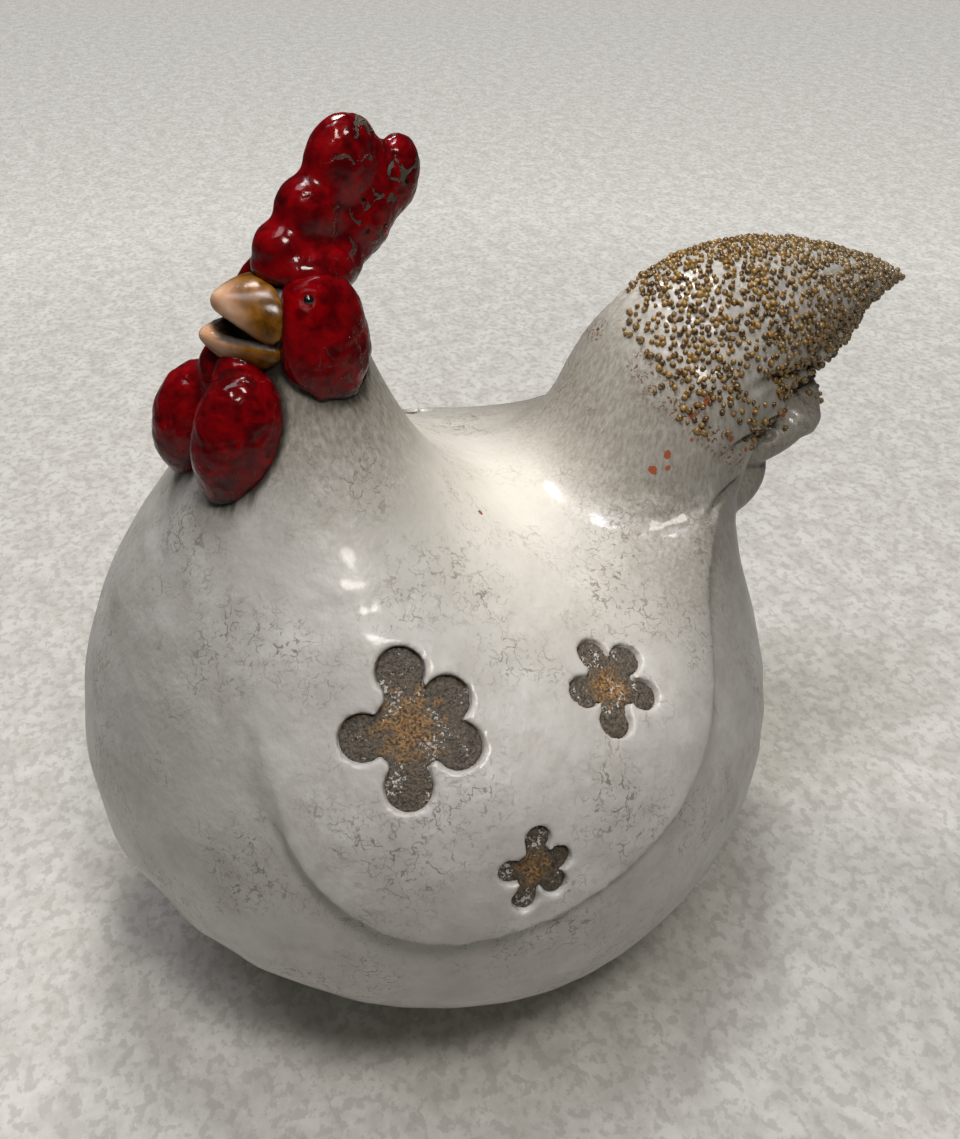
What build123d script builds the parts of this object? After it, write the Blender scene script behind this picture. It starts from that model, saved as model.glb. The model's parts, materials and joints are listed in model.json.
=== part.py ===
# Glazed stoneware hen: a hollow casting with applied wings, head pieces, tail rolls and grit flowers.
# Millimetres.  The hen faces -Y, its left side is +X, up is +Z, and it stands on Z = 0.
import math
import os

from build123d import *

# ---- body -------------------------------------------------------------------------------
body_half_width = 105.0      # sideways, from the middle of the body
body_half_length = 103.0     # fore and aft
body_rise = 87.0             # from the widest level up to the back
body_drop = 95.5             # from the widest level down, before the foot is ground flat
widest_level = 86.5          # height of the widest level above the table
body_aft = 3.0               # the body's middle sits this far behind the origin
wall = 5.5                   # casting wall
foot_floor = 6.0             # floor of the casting above the table
vent_diameter = 12.0         # kiln vent in the foot
vent_aft = 26.0

# ---- hollow of the back, between neck and tail ------------------------------------------
saddle_depth = 36.0
saddle_aft = 29.0
saddle_height = 180.0
saddle_reach = (74.0, 57.0, 60.0)

# ---- neck and head ----------------------------------------------------------------------
neck_forward = 29.5
neck_radius = 13.8
neck_flare = 0.23            # widening per millimetre below the throat
throat_height = 205.0
neck_root = 110.0            # the neck's own shape ends here, inside the body
neck_blend = 68.0
head_top = 224.5
head_dome = 12.0
head_turn = 12.0             # the head looks a little to the hen's left

# ---- tail -------------------------------------------------------------------------------
tail_tilt = 41.0             # slope of the tail's cross sections
tail_length = 84.0
tail_breadth = 54.5
tail_half_width = 38.0
tail_tip_half_width = 1.5
tail_rear = 89.0
tail_sweep = (-27.0, 48.8)
tail_taper = (3.87, 0.84)
tail_blend = 31.0
tail_root = 60.0             # how far the tail's own shape runs down into the body
tail_pivot = (27.0, 200.0)   # aft and height of the point that the tail leans about

# ---- wings ------------------------------------------------------------------------------
wing_thickness = 4.2
wing_feather_edge = 0.5
wing_foot = 98.0             # lowest level the wings reach
wing_inner = 20.0            # no wing nearer the middle than this
wing_front_fade = (66.0, 40.0)
wing_top_fade = (126.0, 18.0)
wing_tip_lift = (20.0, 0.35)  # behind this the fade climbs towards the wing's tip

# The wing's edge, each corner as aft of the origin and height over the wing's foot.
wing_corners = [
    (-60, 54), (-65.5, 33), (-59, 12.5), (-40, 0), (-13, 2), (14, 9.2), (36, 19),
    (52, 31.5), (62, 43.5), (71.5, 52), (74.5, 57.5), (65, 54.5), (48, 49.5), (5, 50), (-35, 60),
]

# ---- grit flowers in the wings ----------------------------------------------------------
flower_depth = 1.9           # how far the grit lies below the wing's face
flower_thickness = 1.5
petal_share = 0.31           # petal radius to flower radius
heart_share = 0.48
web_share = 0.5

# Each flower: aft and height of its middle, radius, petal directions, petal lengths.
flowers = {
    "flower_front": ((-31.6, 141.6), 18.0, (94, 34, -23, -98, -178), (1.08, 0.92, 0.95, 1.0, 0.92)),
    "flower_rear": ((20.3, 136.6), 12.8, (75, 15, -58, -133, 160), (0.98, 0.98, 0.95, 1.1, 0.95)),
    "flower_low": ((-12.4, 113.3), 9.6, (78, 14, -48, -115, 172), (1.08, 0.92, 0.95, 1.12, 0.92)),
}

# ---- head pieces, all placed on the turned head: forward of the neck, then height --------
# Comb lobe: forward, height, half length, half height, half thickness, backward lean.
comb_lobes = [
    (1.6, 228.2, 6.4, 6.4, 6.8, 0.0),
    (-6.2, 235.0, 8.2, 8.3, 6.4, 0.0),
    (-15.4, 243.6, 9.2, 11.2, 6.0, 18.0),
    (-28.2, 238.8, 6.7, 9.7, 5.6, 24.0),
    (-19.4, 232.2, 8.3, 14.6, 6.6, 38.0),
    (-5.5, 227.0, 12.5, 8.0, 7.6, 6.0),
    (-4.2, 223.4, 13.0, 6.6, 11.4, 7.0),
]

face_forward = -1.2
face_side = 10.6
face_height = 207.6
face_radii = (8.5, 10.8, 18.5)   # sideways, fore and aft, up and down
face_pitch = -4.0
face_lean = 9.0                  # the pads spread with the neck

eye_radius = 1.35
eye_forward = 5.1                # ahead of the pad's middle
eye_above = 12.4                 # above the pad's middle

wattle_side = 9.5
wattle_pitch = -14.0
wattle_gap = 0.3                 # each wattle stops this far from the head's middle plane
wattle_root = (17.5, 3.6, 201.5)
wattle_root_radii = (5.5, 6.5, 9.0)
wattle_root_pitch = -25.0

# Each wattle: forward, height, half height.  The hen's right one hangs a little further forward.
wattles = {"left": (22.3, 190.0, 17.0), "right": (24.5, 187.6, 14.8)}
wattle_radii = (8.5, 11.0)

beak_root_forward = 6.0
beak_root_back = 3.0             # the horns run on this far into the head
beak_half_width = 12.5
upper_root_height = 213.0
upper_tip = (19.9, 221.2)        # forward and height
upper_depth = 10.0
mouth_roof_tip = (19.0, 218.0)
mouth_roof_slope = 45.5          # the roof of the open mouth climbs towards the tip
lower_root_height = 209.3
lower_tip = (23.6, 213.9)
lower_depth = 9.8
mouth_floor_slope = 15.5
mouth_floor_drop = 0.4           # the jaw's rim passes this far under the tip of its horn
mouth_hollow = (9.6, 15.8, 5.6)  # half width, half length and depth of the scoop in the lower jaw
mouth_hollow_back = 19.3         # from the jaw's tip back to the scoop's middle
beak_fullness = (1.7, 0.9)
beak_sections = (0.0, 0.3, 0.6, 0.82, 0.96)   # shares of the way from the root to the tip

# Each tail roll: aft, height, half length, half breadth, half width, lean.
tail_rolls = {
    "tail_roll_upper": (111.0, 178.0, 36.0, 12.0, 20.0, 22.0),
    "tail_roll_middle": (105.0, 156.0, 27.0, 8.8, 25.0, 20.0),
    "tail_roll_lower": (89.5, 140.5, 24.0, 9.4, 28.0, 22.0),
}

# ---- how finely the hen's skin is lofted -------------------------------------------------
rays = 32                        # points round each cross section
body_turns = 32                  # sections from the neck, round the belly, to the tail
march_limit = 400                # steps a search may take before the section counts as missing
roomy = 600.0                    # larger than the whole hen


def soft_min(first, second, blend):
    share = max(blend - abs(first - second), 0.0) / blend
    return min(first, second) - share * share * blend * 0.25


def body_field(x, y, z):
    """Signed distance, roughly, from the egg-shaped body with its hollow back."""
    height = body_rise if z > widest_level else body_drop
    a = x / body_half_width
    b = (y - body_aft) / body_half_length
    c = (z - widest_level) / height
    size = math.sqrt(a * a + b * b + c * c)
    slope = math.sqrt((a / body_half_width) ** 2 + (b / body_half_length) ** 2 + (c / height) ** 2)
    egg = size * (size - 1.0) / max(slope, 1e-9)
    reach_x, reach_y, reach_z = saddle_reach
    dip = (x / reach_x) ** 2 + ((y - saddle_aft) / reach_y) ** 2 + ((z - saddle_height) / reach_z) ** 2
    return egg + saddle_depth * math.exp(-dip)


def neck_field(x, y, z):
    out = math.hypot(x, y + neck_forward)
    column = out - neck_radius - neck_flare * max(throat_height - z, 0.0)
    over = (z - head_top + head_dome) / head_dome
    if over > 0.0:
        return (math.hypot(out / neck_radius, over) - 1.0) * head_dome
    return max(column, neck_root - z)


def tail_field(x, y, z):
    tilt = math.radians(tail_tilt)
    dy = y - tail_pivot[0]
    dz = z - tail_pivot[1]
    along = dy * math.sin(tilt) + dz * math.cos(tilt)
    across = dy * math.cos(tilt) - dz * math.sin(tilt)
    part_way = min(max(along / tail_length, -0.6), 0.995)
    grown = 0.5 * (part_way + math.sqrt(part_way * part_way + 0.01))
    grown = min(grown, 0.995)
    rear = tail_rear + tail_sweep[0] * part_way + tail_sweep[1] * grown * grown
    taper = (1.0 - grown ** tail_taper[0]) ** tail_taper[1]
    half = tail_breadth * taper / 2.0
    middle = rear - half
    width = max(tail_half_width * (0.6 * (1.0 - grown) + 0.4 * taper), tail_tip_half_width)
    size = math.hypot(x / width, (across - middle) / half)
    flat = (size - 1.0) * min(width, half)
    return max(flat, along - tail_length, -along - tail_root)


def hen_field(x, y, z):
    smooth = soft_min(body_field(x, y, z), neck_field(x, y, z), neck_blend)
    return soft_min(smooth, tail_field(x, y, z), tail_blend)


def wing_level(x, y, z):
    """How far a wing stands proud of the body: full below, feathering out over the shoulder."""
    lift_from, lift = wing_tip_lift
    front = (z - wing_foot - 0.5 * y - wing_front_fade[0]) / wing_front_fade[1]
    top = (z - lift * max(y - lift_from, 0.0) - wing_top_fade[0]) / wing_top_fade[1]
    share = min(max(front, top, 0.0), 1.0)
    share = share * share * (3.0 - 2.0 * share)
    return wing_feather_edge + (wing_thickness - wing_feather_edge) * (1.0 - share)


def march(keep_going, start, step):
    """Walks out from start until keep_going says no, and returns that distance."""
    for count in range(march_limit):
        if not keep_going(start + step * count):
            return start + step * count
    raise ValueError("a section of the hen has no edge")


def spline_half(points, hand):
    """Half a section.  Every section shares one spacing, so the lofted skin stays light."""
    spacing = [index / (len(points) - 1) for index in range(len(points))]
    first = (points[1] - points[0]).length * (len(points) - 1)
    last = (points[-1] - points[-2]).length * (len(points) - 1)
    ends = [Vector(hand * first, 0, 0), Vector(-hand * last, 0, 0)]
    return Edge.make_spline(points, tangents=ends, parameters=spacing, scale=False)


def cross_section(origin, outward, level):
    """One closed section of the hen, in the plane through origin holding X and outward."""

    def value(side, out):
        y = origin[0] + outward[0] * out
        z = origin[1] + outward[1] * out
        return hen_field(side, y, z) - level(side, y, z)

    step = 1.0
    near = march(lambda out: value(0.0, out) > 0.0, 0.0, step)
    far = march(lambda out: value(0.0, out) < 0.0, near + step, step)
    centre = (near + far - step) / 2.0
    points = []
    for index in range(rays // 2 + 1):
        angle = math.pi * index / (rays // 2)
        across = math.sin(angle)
        down = math.cos(angle)
        high = march(lambda reach: value(reach * across, centre - reach * down) < 0.0, step, 2.0 * step)
        low = max(high - 2.0 * step, 0.0)
        for _ in range(24):
            mid = (low + high) / 2.0
            if value(mid * across, centre - mid * down) < 0.0:
                low = mid
            else:
                high = mid
        points.append((low * across, centre - low * down))
    halves = []
    for hand in (1, -1):
        placed = [
            Vector(hand * side, origin[0] + outward[0] * out, origin[1] + outward[1] * out)
            for side, out in points
        ]
        halves.append(placed)
    return spline_half(halves[0], 1), spline_half(halves[1], -1)


def stations(neck_heights, turns, tail_steps):
    """Section planes from the head, round the breast and belly, to the tip of the tail."""
    planes = []
    for height in neck_heights:
        planes.append(((tail_pivot[0], height), (-1.0, 0.0)))
    swing = 180.0 - tail_tilt
    for index in range(turns):
        angle = math.radians(180.0 + swing * index / turns)
        planes.append((tail_pivot, (math.cos(angle), math.sin(angle))))
    tilt = math.radians(tail_tilt)
    for along in tail_steps:
        shifted = (tail_pivot[0] + along * math.sin(tilt), tail_pivot[1] + along * math.cos(tilt))
        planes.append((shifted, (math.cos(tilt), -math.sin(tilt))))
    return planes


def hen_form(level, neck_heights, turns, tail_steps):
    sections = [cross_section(o, d, level) for o, d in stations(neck_heights, turns, tail_steps)]
    faces = [Face(Wire(list(sections[0]))), Face(Wire(list(sections[-1])))]
    for here, after in zip(sections, sections[1:]):
        for half in (0, 1):
            faces.append(Face.make_surface_from_curves(here[half], after[half]))
    return Solid(Shell(faces))


def above(height):
    """A block that keeps everything above the given level."""
    return Pos(0, 0, height + roomy / 2.0) * Box(roomy, roomy, roomy)


def outer_form(level):
    heads = [head_top - head_dome * share for share in (0.025, 0.125, 0.25, 0.42, 0.67, 1.0, 1.5)]
    shares = (0, 0.1, 0.2, 0.3, 0.4, 0.5, 0.6, 0.7, 0.79, 0.87, 0.93, 0.98)
    return hen_form(level, heads, body_turns, [tail_length * share for share in shares])


def middle_form(level):
    """The same form without its head and the thin end of the tail."""
    tails = [tail_length * share for share in (0, 0.1, 0.2, 0.3)]
    return hen_form(level, [throat_height + wing_thickness], body_turns, tails)


def inner_form(level):
    """The hollow inside, which stops short of the head and the thin end of the tail."""
    heads = [head_top - head_dome - 0.5, throat_height + 1.0]
    tails = [tail_length * share for share in (0, 0.15, 0.3, 0.45, 0.6)]
    return hen_form(level, heads, body_turns // 2, tails)


def ellipsoid(radii, place):
    return place * scale(Sphere(1.0), by=radii)


def head_place(forward, side, height, pitch=0.0, lean=0.0):
    """A place on the turned head: forward along the beak, side towards the hen's left."""
    turned = Pos(0, -neck_forward, 0) * Rot(0, 0, head_turn)
    return turned * Pos(side, -forward, height) * Rot(pitch, 0, 0) * Rot(0, lean, 0)


def make_body(outer):
    inner = inner_form(lambda x, y, z: -wall)
    shell = (outer & above(0.0)) - (inner & above(foot_floor))
    return shell - Pos(0, vent_aft, 0) * Cylinder(vent_diameter / 2.0, 4 * foot_floor)


def wing_outline():
    corners = [Vector(wing_inner, aft, wing_foot + height) for aft, height in wing_corners]
    return Face(Wire([Edge.make_spline(corners, periodic=True)]))


def flower_outline(radius, turns, lengths):
    petals = Circle(radius * heart_share)
    for turn, length in zip(turns, lengths):
        reach = radius * (length - petal_share)
        petal = Pos(reach, 0) * Circle(radius * petal_share)
        petal += Pos(reach / 2, 0) * Rectangle(reach, radius * web_share)
        petals += Rot(0, 0, turn) * petal
    return petals


def flower_prism(spot, radius, turns, lengths):
    y, z = spot
    x = march(lambda side: hen_field(side, y, z) < 0.0, wing_inner, 0.25)
    step = 0.5
    normal = Vector(
        hen_field(x + step, y, z) - hen_field(x - step, y, z),
        hen_field(x, y + step, z) - hen_field(x, y - step, z),
        hen_field(x, y, z + step) - hen_field(x, y, z - step),
    ).normalized()
    across = Vector(0, 0, 1).cross(normal)
    plane = Plane(origin=(x, y, z), x_dir=across, z_dir=normal)
    return extrude(plane * flower_outline(radius, turns, lengths), amount=2 * wall, both=True)


def make_wing_pieces(outer):
    """The left wing, its grit flowers, and the pockets they need in wing and body."""
    raised = middle_form(wing_level)
    sunk = middle_form(lambda x, y, z: wing_level(x, y, z) - flower_depth)
    floor = middle_form(lambda x, y, z: wing_level(x, y, z) - flower_depth - flower_thickness)
    blank = extrude(wing_outline(), amount=body_half_width + wing_thickness, dir=(1, 0, 0))
    wing = (raised & blank) - outer
    pieces = {}
    pockets = []
    for name, (spot, radius, turns, lengths) in flowers.items():
        pocket = flower_prism(spot, radius, turns, lengths) - floor
        wing = wing - pocket
        pieces[name] = pocket & sunk
        pockets.append(pocket)
    pieces["wing"] = wing
    return pieces, pockets


def make_comb(body):
    comb = None
    for forward, height, length, rise, thickness, lean in comb_lobes:
        lobe = ellipsoid((thickness, length, rise), head_place(forward, 0.0, height, -lean))
        comb = lobe if comb is None else comb + lobe
    return comb - body


def make_face(body, side):
    place = head_place(face_forward, side * face_side, face_height, face_pitch, -side * face_lean)
    return ellipsoid(face_radii, place) - body


def make_eye(side):
    """A bead of glaze whose middle lies on the face pad."""
    width, length, rise = face_radii
    out = width * math.sqrt(1.0 - (eye_forward / length) ** 2 - (eye_above / rise) ** 2)
    place = head_place(face_forward, side * face_side, face_height, face_pitch, -side * face_lean)
    return place * Pos(side * out, -eye_forward, eye_above) * Sphere(eye_radius)


def make_wattle(body, jaw, side, forward, height, rise):
    drop = ellipsoid((*wattle_radii, rise), head_place(forward, side * wattle_side, height, wattle_pitch))
    ahead, beside, up = wattle_root
    root = ellipsoid(wattle_root_radii, head_place(ahead, side * beside, up, wattle_root_pitch))
    other_side = head_place(0.0, -side * (roomy / 2.0 - wattle_gap), height) * Box(roomy, roomy, roomy)
    return drop + root - other_side - jaw - body


def beak_horn(root_height, tip, half_width, depth):
    """A blunt horn from inside the head to its tip, wider than it is deep, skinned over oval sections."""
    run = tip[0] - beak_root_forward
    rise = tip[1] - root_height
    length = math.hypot(run, rise)
    power, fullness = beak_fullness
    sections = []
    for share in (-beak_root_back / length, *beak_sections):
        size = (1.0 - max(share, 0.0) ** power) ** fullness
        plane = Plane(origin=(0, -share * length, 0), x_dir=(1, 0, 0), z_dir=(0, -1, 0))
        sections.append(plane * Ellipse(half_width * size, depth * size))
    climb = math.degrees(math.atan2(rise, run))
    return head_place(beak_root_forward, 0.0, root_height, -climb) * loft(sections)


def make_beak(body):
    """The two halves of the open beak, and the solid lower horn that the wattles meet."""
    roof = head_place(mouth_roof_tip[0], 0.0, mouth_roof_tip[1], -mouth_roof_slope)
    upper = beak_horn(upper_root_height, upper_tip, beak_half_width, upper_depth)
    upper = upper & (roof * Pos(0, 0, roomy / 2.0) * Box(roomy, roomy, roomy))
    floor = head_place(lower_tip[0], 0.0, lower_tip[1] - mouth_floor_drop, -mouth_floor_slope)
    below = floor * Pos(0, 0, -roomy / 2.0) * Box(roomy, roomy, roomy)
    jaw = beak_horn(lower_root_height, lower_tip, beak_half_width, lower_depth) & below
    scoop = ellipsoid(mouth_hollow, floor * Pos(0, mouth_hollow_back, 0))
    upper = upper - body
    lower = jaw - scoop - body - upper
    return upper, lower, jaw


def make_tail_rolls(outer):
    made = {}
    for name, (aft, height, length, breadth, width, lean) in tail_rolls.items():
        roll = ellipsoid((width, length, breadth), Pos(0, aft, height) * Rot(lean, 0, 0))
        for other in made.values():
            roll = roll - other
        made[name] = roll - outer
    return made


def build():
    outer = outer_form(lambda x, y, z: 0.0)
    body = make_body(outer)
    pieces, pockets = make_wing_pieces(outer)
    for pocket in pockets:
        body = body - pocket - mirror(pocket, about=Plane.YZ)
    nodes = {"body_shell": body}
    for name, piece in pieces.items():
        nodes[name + "_left"] = piece
        nodes[name + "_right"] = mirror(piece, about=Plane.YZ)
    comb = make_comb(outer)
    upper, lower, jaw = make_beak(outer)
    upper = upper - comb
    for side, label in ((1, "left"), (-1, "right")):
        eye = make_eye(side)
        face = make_face(outer, side) - comb - eye
        upper = upper - face
        lower = lower - face
        nodes["face_" + label] = face
        nodes["eye_" + label] = eye
        nodes["wattle_" + label] = make_wattle(outer, jaw, side, *wattles[label]) - face
    nodes["comb"] = comb
    nodes["beak_upper"] = upper
    nodes["beak_lower"] = lower
    nodes.update(make_tail_rolls(outer))
    return nodes


os.makedirs("parts", exist_ok=True)
for node, shape in build().items():
    shape.label = node
    export_step(shape, f"parts/{node}.step")
    box = shape.bounding_box()
    print(node, len(shape.solids()), round(shape.volume), box.min, box.max, flush=True)
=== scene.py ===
import json
import math
import random

import bpy
from mathutils import Euler, Matrix, Vector, geometry, noise
from mathutils.bvhtree import BVHTree

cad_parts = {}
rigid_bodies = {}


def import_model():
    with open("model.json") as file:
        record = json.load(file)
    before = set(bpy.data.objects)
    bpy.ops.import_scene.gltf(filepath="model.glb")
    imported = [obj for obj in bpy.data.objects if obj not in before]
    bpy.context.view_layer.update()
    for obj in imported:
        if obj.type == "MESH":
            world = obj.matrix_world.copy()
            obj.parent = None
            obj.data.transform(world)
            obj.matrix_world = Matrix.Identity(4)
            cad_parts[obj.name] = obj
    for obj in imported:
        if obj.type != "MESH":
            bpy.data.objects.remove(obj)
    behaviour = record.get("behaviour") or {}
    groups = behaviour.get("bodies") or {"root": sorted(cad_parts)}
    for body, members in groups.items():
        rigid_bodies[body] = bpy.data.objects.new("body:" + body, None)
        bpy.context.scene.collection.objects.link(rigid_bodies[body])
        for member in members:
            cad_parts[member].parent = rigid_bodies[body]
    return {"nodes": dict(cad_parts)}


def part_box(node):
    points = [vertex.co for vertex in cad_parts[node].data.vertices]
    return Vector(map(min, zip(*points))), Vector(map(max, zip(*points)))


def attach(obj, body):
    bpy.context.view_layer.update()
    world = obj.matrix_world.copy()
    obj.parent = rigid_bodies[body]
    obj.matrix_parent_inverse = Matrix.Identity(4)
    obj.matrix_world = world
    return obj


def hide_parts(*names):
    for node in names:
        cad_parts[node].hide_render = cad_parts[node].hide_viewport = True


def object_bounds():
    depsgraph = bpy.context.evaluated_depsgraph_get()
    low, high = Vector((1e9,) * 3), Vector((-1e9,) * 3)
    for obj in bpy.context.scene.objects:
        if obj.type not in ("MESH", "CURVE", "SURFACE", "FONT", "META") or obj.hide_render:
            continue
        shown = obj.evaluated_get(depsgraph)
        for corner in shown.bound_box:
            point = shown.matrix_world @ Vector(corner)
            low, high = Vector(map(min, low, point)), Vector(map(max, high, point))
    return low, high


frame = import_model()
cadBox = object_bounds()
nodes = frame["nodes"]
mm = 0.001
print("frame loaded,", len(nodes), "nodes")


# Small tools for the meshes.

def pick(*pieces):
    # selects the pieces, with the first one active
    bpy.ops.object.select_all(action="DESELECT")
    for piece in pieces:
        piece.select_set(True)
    bpy.context.view_layer.objects.active = pieces[0]


def selectFaces(piece, wanted):
    # selects the picked piece's faces that wanted says yes to, and stays in edit mode
    bpy.ops.object.mode_set(mode="EDIT")
    bpy.ops.mesh.select_mode(type="FACE")
    bpy.ops.mesh.select_all(action="DESELECT")
    bpy.ops.object.mode_set(mode="OBJECT")
    for polygon in piece.data.polygons:
        polygon.select = wanted(polygon)
    bpy.ops.object.mode_set(mode="EDIT")


def copyNodes(title, names):
    # a copy of CAD solids as one object, merged point by point
    copies = []
    for name in names:
        piece = bpy.data.objects.new(title, nodes[name].data.copy())
        piece.data.materials.clear()
        bpy.context.collection.objects.link(piece)
        copies.append(piece)
    pick(*copies)
    if len(copies) > 1:
        bpy.ops.object.join()
    whole = copies[0]
    whole.name = title
    bpy.ops.object.mode_set(mode="EDIT")
    bpy.ops.mesh.select_all(action="SELECT")
    bpy.ops.mesh.remove_doubles(threshold=0.01 * mm)
    bpy.ops.object.mode_set(mode="OBJECT")
    return whole


def applyModifier(piece, kind, **settings):
    pick(piece)
    modifier = piece.modifiers.new(kind.lower(), kind)
    for key, value in settings.items():
        setattr(modifier, key, value)
    bpy.ops.object.modifier_apply(modifier=modifier.name)


def remesh(piece, voxel):
    applyModifier(piece, "REMESH", mode="VOXEL", voxel_size=voxel * mm)


def soften(piece, rounds, **settings):
    applyModifier(piece, "SMOOTH", factor=0.5, iterations=rounds, **settings)


def swell(piece, height, **settings):
    # moves the surface out by a height in millimetres, or in where it is negative
    applyModifier(piece, "DISPLACE", strength=height * mm, mid_level=0.0, **settings)


def roughen(piece, title, size, height, level, **settings):
    # lumps of a size and height in millimetres; level is the share of the height that goes inwards
    clouds = bpy.data.textures.new(title, "CLOUDS")
    clouds.noise_scale = size * mm
    applyModifier(piece, "DISPLACE", texture=clouds, strength=height * mm, mid_level=level, **settings)


def weigh(piece, title, weightAt):
    # weightAt takes a point in millimetres
    group = piece.vertex_groups.new(name=title)
    for vertex in piece.data.vertices:
        group.add([vertex.index], weightAt(vertex.co / mm), "REPLACE")


def paint(piece, title, valueAt):
    # valueAt takes a point in millimetres and the surface's normal there
    layer = piece.data.attributes.new(title, "FLOAT", "POINT")
    layer.data.foreach_set("value", [valueAt(v.co / mm, v.normal) for v in piece.data.vertices])


def ease(value, low, high):
    # grows smoothly from 0 at low to 1 at high
    share = min(max((value - low) / (high - low), 0.0), 1.0)
    return share * share * (3 - 2 * share)


def finishPiece(piece, material, slot, *replaced):
    pick(piece)
    bpy.ops.object.shade_smooth()
    piece.data.materials.clear()
    piece.data.materials.append(material)
    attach(piece, "root")
    if replaced:
        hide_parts(*replaced)
    print(piece.name, len(piece.data.polygons), "faces")


# Small tools for the materials.

def hexColour(code):
    channels = []
    for start in (1, 3, 5):
        value = int(code[start:start + 2], 16) / 255
        channels.append(value / 12.92 if value <= 0.04045 else ((value + 0.055) / 1.055) ** 2.4)
    return (*channels, 1.0)


def addNode(tree, kind, links=None, out=0, **settings):
    # links maps a socket to a value or to the output that feeds it
    node = tree.nodes.new("ShaderNode" + kind)
    for key, value in settings.items():
        setattr(node, key, value)
    for key, value in (links or {}).items():
        if isinstance(value, bpy.types.NodeSocket):
            tree.links.new(value, node.inputs[key])
        else:
            node.inputs[key].default_value = value
    return node.outputs[out]


# a Mix node set for colours has its two inputs and its output by number
under, over = 6, 7
blend = {"out": 2, "data_type": "RGBA"}


def perMetre(size):
    # the scale of a pattern whose patches measure this many millimetres, to two figures
    return float(f"{1 / (size * mm):.2g}")


def newMaterial(title):
    material = bpy.data.materials.new(title)
    material.use_nodes = True
    tree = material.node_tree
    return material, tree, tree.nodes["Principled BSDF"].inputs


# Camera and lights: places in metres, angles in degrees, the lens in millimetres, power in watts.

camera = {
    "place": (0.22184, -0.08076, 0.31023),
    "tilt": 52.0,
    "turn": 66.0,
    "sensor": 36,
    "lens": 31.61,
}

lampAim = (0, 0.02, 0.1)

lamps = {
    "row_near": {"place": (0.25, 0.0, 0.54), "size": 0.10, "power": 0.8, "tint": "#FFF9F1"},
    "row_middle": {"place": (0.0, 0.0, 0.54), "size": 0.08, "power": 0.5, "tint": "#F4F7FF"},
    "row_far": {"place": (-0.22, 0.03, 0.54), "size": 0.10, "power": 0.9, "tint": "#FFF9F1"},
    "ceiling": {"place": (0.1, -0.35, 2.0), "size": 0.8, "power": 9.0, "tint": "#FBFAFF"},
}

room = {"tint": "#D2D6DA", "strength": 0.05}


def placeCamera():
    bpy.ops.object.camera_add(location=camera["place"])
    eye = bpy.context.active_object
    eye.name = "view"
    eye.rotation_euler = (math.radians(camera["tilt"]), 0, math.radians(camera["turn"]))
    eye.data.sensor_width = camera["sensor"]
    eye.data.lens = camera["lens"]
    bpy.context.scene.camera = eye


def placeLamps():
    for title, lamp in lamps.items():
        aim = Vector(lampAim) - Vector(lamp["place"])
        bpy.ops.object.light_add(type="AREA", location=lamp["place"])
        light = bpy.context.active_object
        light.name = title
        light.rotation_euler = aim.to_track_quat("-Z", "Y").to_euler()
        light.data.shape = "DISK"
        light.data.size = lamp["size"]
        light.data.energy = lamp["power"]
        light.data.color = hexColour(lamp["tint"])[:3]
        light.visible_camera = False
    world = bpy.data.worlds.new("room")
    bpy.context.scene.world = world
    world.use_nodes = True
    sky = world.node_tree.nodes["Background"].inputs
    sky["Color"].default_value = hexColour(room["tint"])
    sky["Strength"].default_value = room["strength"]


bpy.ops.object.select_all(action="DESELECT")
bpy.context.scene.view_settings.view_transform = "Standard"
placeCamera()
placeLamps()
print("camera and lamps")


# Worktop: sizes in metres. The lift is how strongly its far part glows for the eye.

worktop = {"size": 9.0, "liftFrom": 0.12, "liftFull": 0.7, "lift": 0.6}


def worktopLaminate():
    # matt pressed laminate: stone-like flakes of warm grey, no shine
    material, tree, surface = newMaterial("matt_pressed_laminate")
    place = addNode(tree, "TexCoord", out="Object")
    blotch = addNode(tree, "TexNoise", {
        "Vector": place, "Scale": perMetre(14.3), "Detail": 6, "Roughness": 0.72,
    })
    share = addNode(tree, "MapRange", {"Value": blotch, "From Min": 0.40, "From Max": 0.60})
    tone = addNode(tree, "Mix", {
        "Factor": share, under: hexColour("#DDDAD2"), over: hexColour("#F3F1EA"),
    }, **blend)
    flake = addNode(tree, "TexNoise", {
        "Vector": place, "Scale": perMetre(4.2), "Detail": 3, "Roughness": 0.6,
    })
    flakeShare = addNode(tree, "MapRange", {
        "Value": flake, "From Min": 0.50, "From Max": 0.58, "To Max": 0.55,
    })
    tone = addNode(tree, "Mix", {"Factor": flakeShare, under: tone, over: hexColour("#C4C1B9")}, **blend)
    tree.links.new(tone, surface["Base Color"])
    surface["Roughness"].default_value = 0.6
    # away from the hen the worktop keeps its pale tone for the eye, with no more light on the object
    away = addNode(tree, "VectorMath", {0: place}, out="Value", operation="LENGTH")
    reach = {"From Min": worktop["liftFrom"], "From Max": worktop["liftFull"], "To Max": worktop["lift"]}
    distant = addNode(tree, "MapRange", {"Value": away, **reach})
    seen = addNode(tree, "LightPath", out="Is Camera Ray")
    lift = addNode(tree, "Math", {0: distant, 1: seen}, operation="MULTIPLY")
    tree.links.new(tone, surface["Emission Color"])
    tree.links.new(lift, surface["Emission Strength"])
    return material


def makeWorktop():
    bpy.ops.mesh.primitive_plane_add(size=worktop["size"])
    top = bpy.context.active_object
    top.name = "worktop"
    top.data.materials.append(worktopLaminate())


makeWorktop()


# The hen's skin: body, wings and tail rolls under one poured glaze.

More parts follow.
